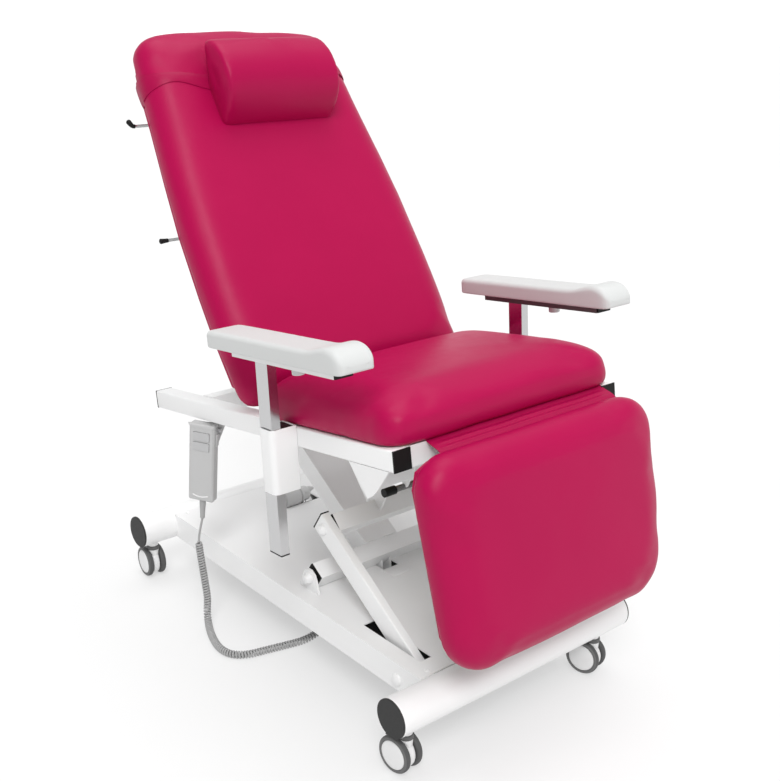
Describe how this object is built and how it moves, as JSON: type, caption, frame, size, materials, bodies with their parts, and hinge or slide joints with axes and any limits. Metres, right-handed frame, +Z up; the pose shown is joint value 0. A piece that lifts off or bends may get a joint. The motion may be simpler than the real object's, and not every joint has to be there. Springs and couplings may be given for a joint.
{
  "type": "electric recliner chair",
  "caption": "Treatment recliner on a castered base: a motor lift raises the seat, the backrest reclines, the legrest swings up, and padded armrests slide and swivel outward.",
  "frame": {"origin": "centre of the chair's bounding box without the cord, on the floor", "axes": "+Z up, the sitter faces -Y, +X is the sitter's left"},
  "size_m": [0.76, 1.1804, 1.3125],
  "materials": {
    "white_paint": "satin white powder coat",
    "upholstery": "smooth magenta artificial leather",
    "plug_black": "matt black",
    "cap_grey": "matt dark grey",
    "pad_grey": "light grey soft moulded pad",
    "chrome_post": "polished",
    "steel": "bright steel",
    "motor_grey": "mid grey housing",
    "handset_grey": "light grey",
    "key_grey": "mid grey keys",
    "caster_white": "white moulding",
    "tyre_grey": "grey soft tread",
    "cord_grey": "grey curly cord",
    "board_ply": "plywood",
    "back_shell": "white back panel",
    "strap_magenta": "magenta strap"
  },
  "bodies": {
    "base": {"base_cross_tubes": "white_paint", "base_side_members": "white_paint", "base_tray": "white_paint", "tube_end_caps": "cap_grey", "lift_brackets": "white_paint", "lift_pivot_pins": "white_paint", "control_box": "motor_grey", "lift_actuator_body": "motor_grey", "cord_lower": "cord_grey"},
    "front_arms": {"front_lift_arms": "white_paint", "front_arm_plugs": "plug_black"},
    "rear_arm": {"rear_lift_arm": "white_paint", "lower_cross_tube": "white_paint", "lower_tube_plugs": "plug_black"},
    "lift_rod": {"lift_actuator_rod": "steel"},
    "seat": {"carriage_tube": "white_paint", "carriage_hangers": "white_paint", "seat_side_rails": "white_paint", "seat_cross_members": "white_paint", "seat_frame_plugs": "plug_black", "armrest_sleeves": "white_paint", "seat_board": "board_ply", "seat_cushion": "upholstery", "handset_hook": "steel", "handset_body": "handset_grey", "cord_strain_relief": "cord_grey", "back_actuator_body": "motor_grey", "gas_spring_body": "plug_black", "cord_upper": "cord_grey"},
    "back_key": {"back_rocker_key": "key_grey"},
    "lift_key": {"lift_rocker_key": "key_grey"},
    "backrest": {"back_frame": "white_paint", "back_board": "back_shell", "back_cushion": "upholstery", "pillow": "upholstery", "pillow_strap": "strap_magenta", "cable_hooks": "steel"},
    "back_rod": {"back_actuator_rod": "steel"},
    "legrest": {"legrest_frame": "white_paint", "legrest_cushion": "upholstery"},
    "gas_rod": {"gas_spring_rod": "steel"},
    "release": {"release_bar": "white_paint"},
    "post_right": {"armrest_post_right": "chrome_post"},
    "arm_top_right": {"armrest_plate_right": "steel", "armrest_pad_right": "pad_grey"},
    "knob_right": {"armrest_knob_right": "pad_grey"},
    "post_left": {"armrest_post_left": "chrome_post"},
    "arm_top_left": {"armrest_plate_left": "steel", "armrest_pad_left": "pad_grey"},
    "knob_left": {"armrest_knob_left": "pad_grey"},
    "caster_front_right": {"caster_housing_front_right": "caster_white"},
    "wheels_front_right": {"caster_wheels_front_right": "tyre_grey"},
    "brake_front_right": {"caster_brake_front_right": "cap_grey"},
    "caster_front_left": {"caster_housing_front_left": "caster_white"},
    "wheels_front_left": {"caster_wheels_front_left": "tyre_grey"},
    "caster_rear_right": {"caster_housing_rear_right": "caster_white"},
    "wheels_rear_right": {"caster_wheels_rear_right": "tyre_grey"},
    "brake_rear_right": {"caster_brake_rear_right": "cap_grey"},
    "caster_rear_left": {"caster_housing_rear_left": "caster_white"},
    "wheels_rear_left": {"caster_wheels_rear_left": "tyre_grey"}
  },
  "joints": [
    {"name": "lift", "type": "hinge", "parent": "base", "child": "rear_arm", "pos_m": [0, -0.0137, 0.1913], "axis": [1, 0, 0], "range_deg": [-9, 27], "deforming": ["cord_lower", "cord_upper"]},
    {"name": "front_arms_swing", "type": "hinge", "parent": "base", "child": "front_arms", "pos_m": [0, -0.3557, 0.126], "axis": [1, 0, 0], "range_deg": [-9, 27], "deforming": ["cord_lower", "cord_upper"]},
    {"name": "seat_level", "type": "hinge", "parent": "rear_arm", "child": "seat", "pos_m": [0, 0.2833, 0.3873], "axis": [1, 0, 0], "range_deg": [-27, 9], "deforming": ["cord_lower", "cord_upper"]},
    {"name": "lift_rod_pivot", "type": "hinge", "parent": "rear_arm", "child": "lift_rod", "pos_m": [0, -0.02345, 0.1119], "axis": [1, 0, 0], "range_deg": [-27, 9]},
    {"name": "recline", "type": "hinge", "parent": "seat", "child": "backrest", "pos_m": [0, 0.10695, 0.56739], "axis": [-1, 0, 0], "range_deg": [-10, 50]},
    {"name": "back_rod_pivot", "type": "hinge", "parent": "backrest", "child": "back_rod", "pos_m": [0, 0.11585, 0.49594], "axis": [-1, 0, 0], "range_deg": [-50, 10]},
    {"name": "legrest_swing", "type": "hinge", "parent": "seat", "child": "legrest", "pos_m": [0, -0.4227, 0.612], "axis": [-1, 0, 0], "range_deg": [0, 75]},
    {"name": "gas_rod_pivot", "type": "hinge", "parent": "legrest", "child": "gas_rod", "pos_m": [0.09, -0.40189, 0.56654], "axis": [-1, 0, 0], "range_deg": [-75, 0]},
    {"name": "release_swing", "type": "hinge", "parent": "seat", "child": "release", "pos_m": [0, -0.35212, 0.57335], "axis": [-1, 0, 0], "range_deg": [0, 12], "stiffness_Nm_per_rad": 6},
    {"name": "back_key_tip", "type": "hinge", "parent": "seat", "child": "back_key", "pos_m": [-0.30588, 0.23336, 0.47068], "axis": [0.0431, -0.0635, 0.9971], "range_deg": [-4, 4], "stiffness_Nm_per_rad": 0.4},
    {"name": "lift_key_tip", "type": "hinge", "parent": "seat", "child": "lift_key", "pos_m": [-0.30689, 0.23485, 0.44725], "axis": [0.0431, -0.0635, 0.9971], "range_deg": [-4, 4], "stiffness_Nm_per_rad": 0.4},
    {"name": "armrest_height_right", "type": "slide", "parent": "seat", "child": "post_right", "axis": [0, 0.0698, 0.9976], "range_m": [-0.06, 0.07]},
    {"name": "armrest_swivel_right", "type": "hinge", "parent": "post_right", "child": "arm_top_right", "pos_m": [-0.34, -0.0836, 0.7355], "axis": [0, -0.0698, -0.9976], "range_deg": [0, 90]},
    {"name": "armrest_knob_turn_right", "type": "hinge", "parent": "arm_top_right", "child": "knob_right", "pos_m": [-0.34, -0.19154, 0.74718], "axis": [0, 0.1132, 0.9936], "continuous": true},
    {"name": "armrest_height_left", "type": "slide", "parent": "seat", "child": "post_left", "axis": [0, 0.0698, 0.9976], "range_m": [-0.06, 0.07]},
    {"name": "armrest_swivel_left", "type": "hinge", "parent": "post_left", "child": "arm_top_left", "pos_m": [0.34, -0.0836, 0.7355], "axis": [0, 0.0698, 0.9976], "range_deg": [0, 90]},
    {"name": "armrest_knob_turn_left", "type": "hinge", "parent": "arm_top_left", "child": "knob_left", "pos_m": [0.34, -0.19154, 0.74718], "axis": [0, 0.1132, 0.9936], "continuous": true},
    {"name": "swivel_front_right", "type": "hinge", "parent": "base", "child": "caster_front_right", "pos_m": [-0.2975, -0.4507, 0.084], "axis": [0, 0, 1], "continuous": true},
    {"name": "roll_front_right", "type": "hinge", "parent": "caster_front_right", "child": "wheels_front_right", "pos_m": [-0.29896, -0.43678, 0.038], "axis": [0.9945, 0.1045, 0], "continuous": true},
    {"name": "brake_tip_front_right", "type": "hinge", "parent": "caster_front_right", "child": "brake_front_right", "pos_m": [-0.30006, -0.42633, 0.062], "axis": [-0.9945, -0.1045, 0], "range_deg": [0, 12]},
    {"name": "swivel_front_left", "type": "hinge", "parent": "base", "child": "caster_front_left", "pos_m": [0.227, -0.4507, 0.084], "axis": [0, 0, 1], "continuous": true},
    {"name": "roll_front_left", "type": "hinge", "parent": "caster_front_left", "child": "wheels_front_left", "pos_m": [0.22361, -0.43712, 0.038], "axis": [0.9703, 0.2419, 0], "continuous": true},
    {"name": "swivel_rear_right", "type": "hinge", "parent": "base", "child": "caster_rear_right", "pos_m": [-0.2925, 0.5353, 0.084], "axis": [0, 0, 1], "continuous": true},
    {"name": "roll_rear_right", "type": "hinge", "parent": "caster_rear_right", "child": "wheels_rear_right", "pos_m": [-0.29152, 0.54927, 0.038], "axis": [0.9976, -0.0698, 0], "continuous": true},
    {"name": "brake_tip_rear_right", "type": "hinge", "parent": "caster_rear_right", "child": "brake_rear_right", "pos_m": [-0.29079, 0.55974, 0.062], "axis": [-0.9976, 0.0698, 0], "range_deg": [0, 12]},
    {"name": "swivel_rear_left", "type": "hinge", "parent": "base", "child": "caster_rear_left", "pos_m": [0.2215, 0.5353, 0.084], "axis": [0, 0, 1], "continuous": true},
    {"name": "roll_rear_left", "type": "hinge", "parent": "caster_rear_left", "child": "wheels_rear_left", "pos_m": [0.22441, 0.54899, 0.038], "axis": [0.9781, -0.2079, 0], "continuous": true}
  ],
  "couplings": [
    {"joint": "front_arms_swing", "follows": "lift", "ratio": 1},
    {"joint": "seat_level", "follows": "lift", "ratio": -1},
    {"joint": "lift_rod_pivot", "follows": "lift", "ratio": -1},
    {"joint": "back_rod_pivot", "follows": "recline", "ratio": -1},
    {"joint": "gas_rod_pivot", "follows": "legrest_swing", "ratio": -1}
  ]
}
